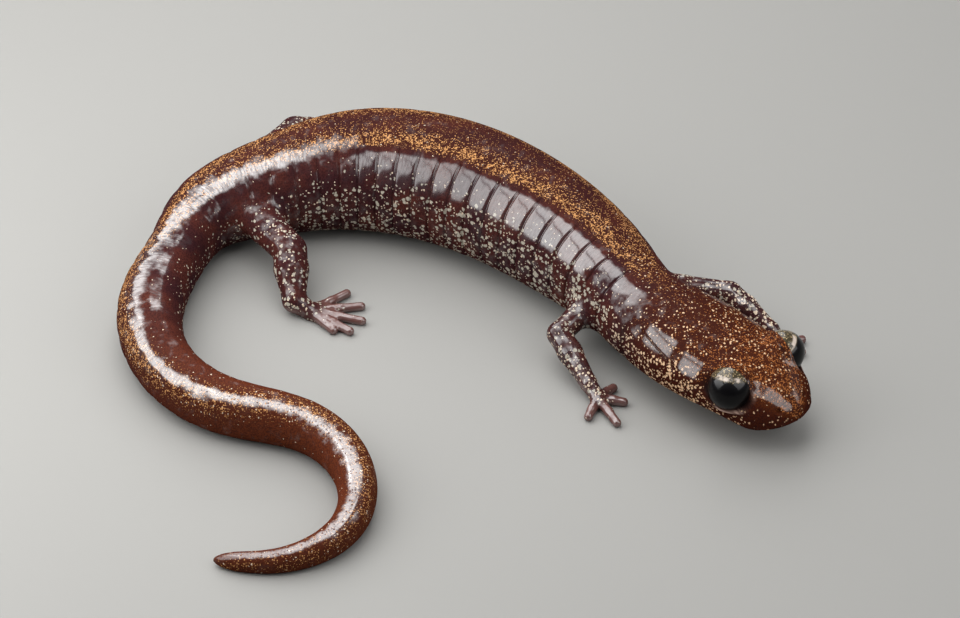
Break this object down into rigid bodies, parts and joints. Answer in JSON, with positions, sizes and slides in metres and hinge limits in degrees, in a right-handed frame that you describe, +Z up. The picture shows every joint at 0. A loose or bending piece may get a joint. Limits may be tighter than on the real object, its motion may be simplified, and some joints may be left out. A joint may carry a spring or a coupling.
{
  "type": "scott bar salamander",
  "caption": "Still life-size model of a Scott Bar salamander resting in an S curve, with ribbed flanks, short legs and a long tapering tail.",
  "frame": {"origin": "middle of the animal's footprint, on the floor that it rests on", "axes": "+Z up from the floor; the head points to +X and -Y, the right flank faces -Y and the tail curls back along -X"},
  "size_m": [0.0554, 0.0565, 0.0098],
  "materials": {
    "skin": "smooth, wet and glossy; dark chocolate brown with a bronze band of fine flecks along the back and pale flecks on the flanks and limbs",
    "eye": "black and wet, with brassy flecks in the upper iris"
  },
  "bodies": {
    "root": {"head": "skin", "eye_right": "eye", "eye_left": "eye", "neck": "skin", "torso_front": "skin", "torso_middle": "skin", "torso_rear": "skin", "tail_root": "skin", "tail_bend": "skin", "tail_middle": "skin", "tail_turn": "skin", "tail_tip": "skin", "front_leg_right": "skin", "front_foot_right": "skin", "front_leg_left": "skin", "front_foot_left": "skin", "hind_leg_right": "skin", "hind_foot_right": "skin", "hind_leg_left": "skin", "hind_foot_left": "skin"}
  },
  "joints": []
}
